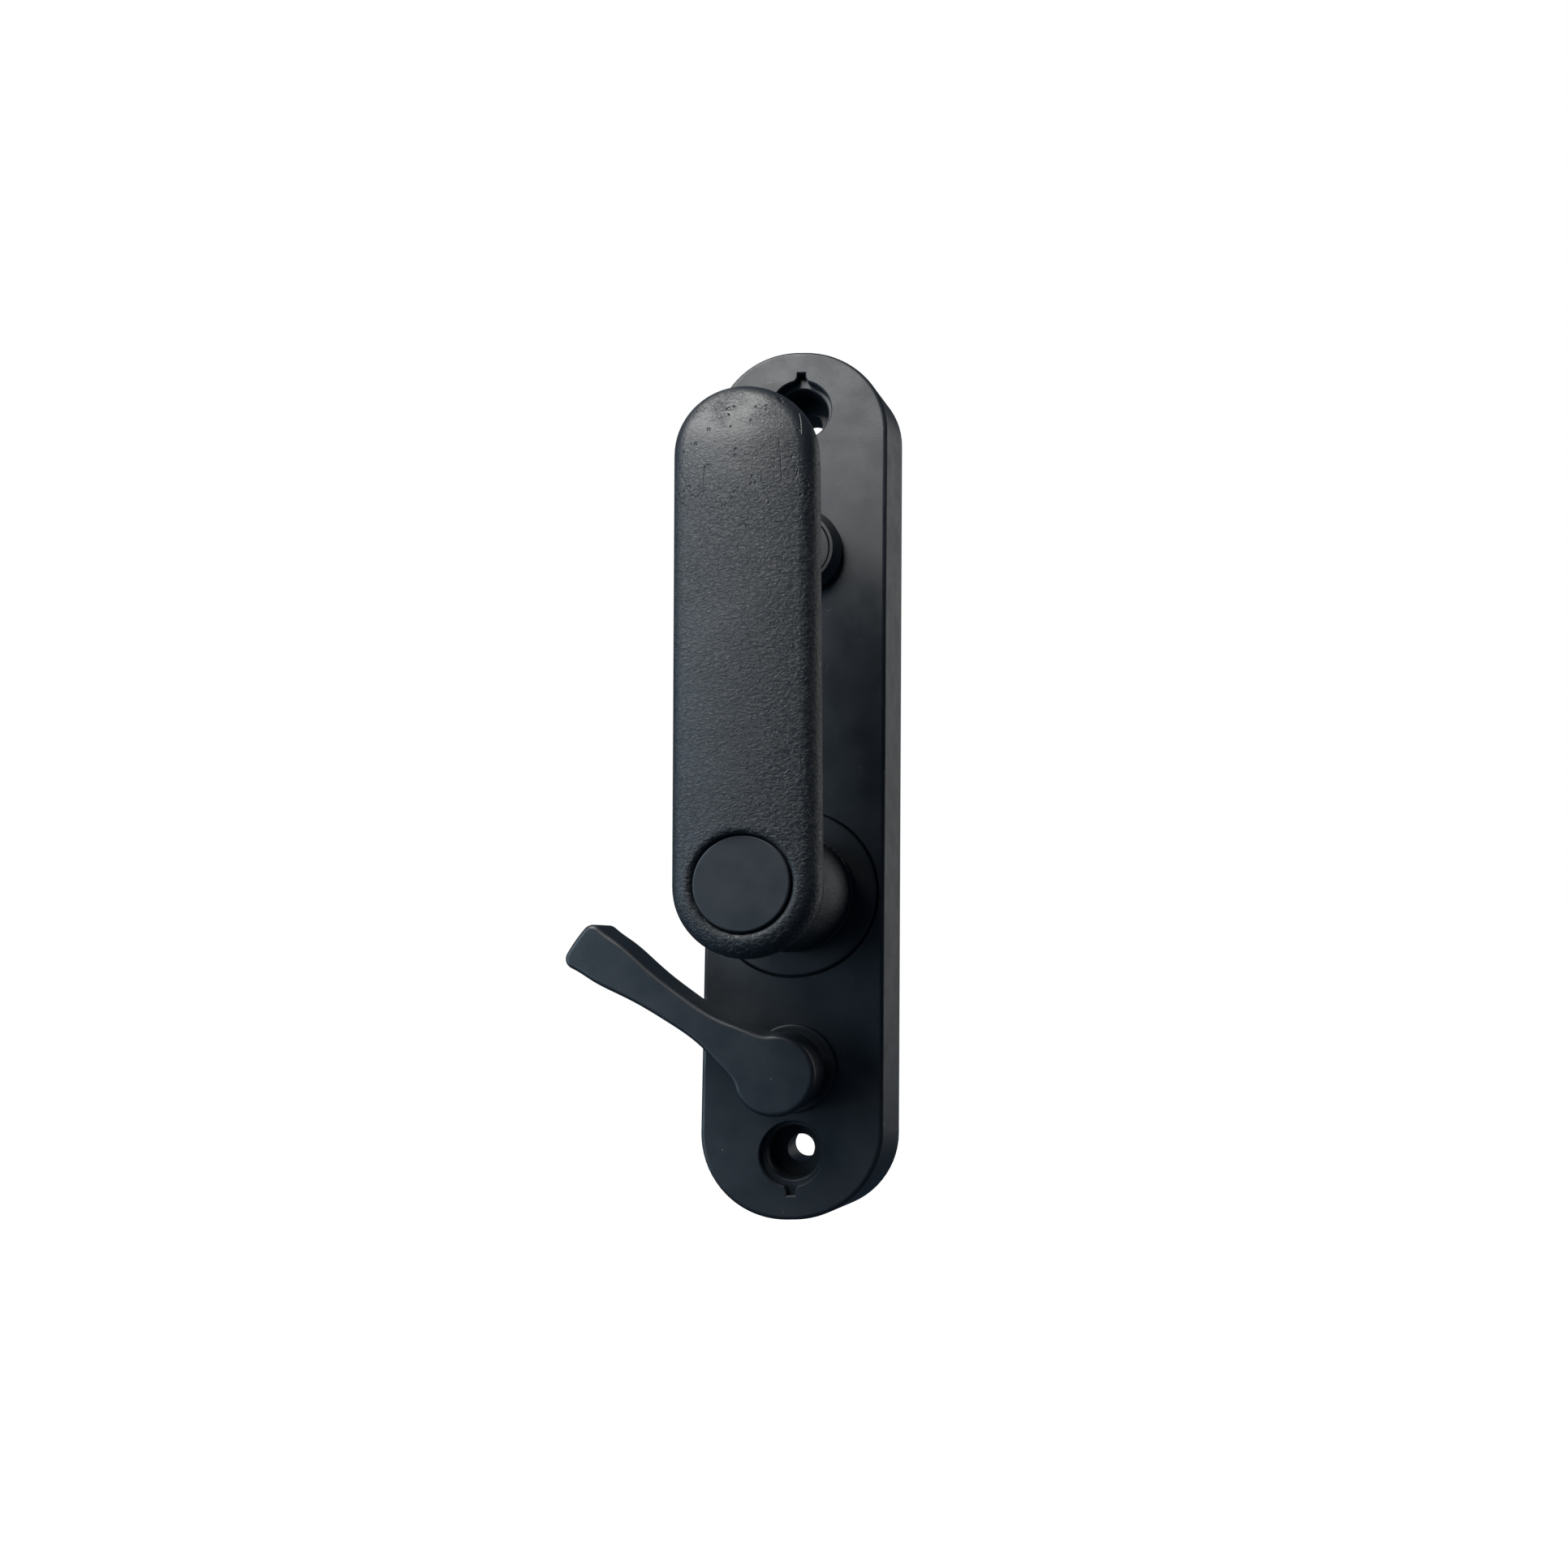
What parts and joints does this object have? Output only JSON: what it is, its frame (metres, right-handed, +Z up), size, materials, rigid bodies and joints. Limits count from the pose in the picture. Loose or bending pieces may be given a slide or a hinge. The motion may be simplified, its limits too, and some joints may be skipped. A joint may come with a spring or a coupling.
{
  "type": "tilt turn window handle",
  "caption": "Long stadium backplate with a pill-shaped grip handle on a square spindle, a small latch lever below it and a key lock above; screw wells at both ends.",
  "frame": {"origin": "on the axis of the big square spindle, in the plane of the mounting face", "axes": "+Z up along the plate towards the key lock, +Y out of the back of the plate into the window, the front and the grip look along -Y, +X right seen from the front"},
  "size_m": [0.0656, 0.084, 0.2018],
  "materials": {
    "black_plate": "satin black powder coat",
    "black_grained": "semi-gloss black over a fine leather grain",
    "black_cap": "smooth satin",
    "black_nylon": "satin",
    "black_latch": "satin black",
    "black_lock": "black, machined under the paint",
    "zinc_sheet": "zinc plated",
    "zinc_bar": "zinc plated, drawn",
    "zinc_screw": "zinc plated",
    "spring_steel": "dark oiled spring steel"
  },
  "bodies": {
    "backplate": {"cover_plate": "black_plate", "back_cover": "zinc_sheet", "cover_screws": "zinc_screw", "neck_collar": "black_nylon", "collar_screws": "zinc_screw", "lock_barrel": "black_lock", "barrel_nut": "zinc_sheet", "bolt_guide": "black_nylon", "guide_screws": "zinc_screw", "latch_bush": "black_nylon", "latch_nut": "zinc_sheet"},
    "handle": {"handle_lever": "black_grained", "handle_cap": "black_cap", "drive_spindle": "zinc_bar", "spindle_screw": "zinc_screw", "spindle_cam": "zinc_sheet", "spring_washer": "spring_steel", "handle_clip": "spring_steel"},
    "latch": {"latch_lever": "black_latch", "latch_spindle": "zinc_bar", "latch_grub_screw": "zinc_screw", "latch_washer": "zinc_sheet", "latch_clip": "spring_steel"},
    "key": {"key_plug": "black_lock", "key_crank": "zinc_sheet", "crank_screw": "zinc_screw"},
    "bolt": {"lock_bolt": "zinc_bar"}
  },
  "joints": [
    {"name": "handle_turn", "type": "hinge", "parent": "backplate", "child": "handle", "pos_m": [0, 0, 0], "axis": [0, 1, 0], "range_deg": [0, 180]},
    {"name": "latch_turn", "type": "hinge", "parent": "backplate", "child": "latch", "pos_m": [0, 0, -0.039], "axis": [0, -1, 0], "range_deg": [0, 90]},
    {"name": "key_turn", "type": "hinge", "parent": "backplate", "child": "key", "pos_m": [0, 0, 0.0792], "axis": [0, 1, 0], "range_deg": [0, 90]},
    {"name": "bolt_slide", "type": "slide", "parent": "backplate", "child": "bolt", "axis": [0, 0, -1], "range_m": [0, 0.0057]}
  ],
  "couplings": [
    {"joint": "bolt_slide", "follows": "key_turn", "m_per_rad": 0.003601}
  ]
}
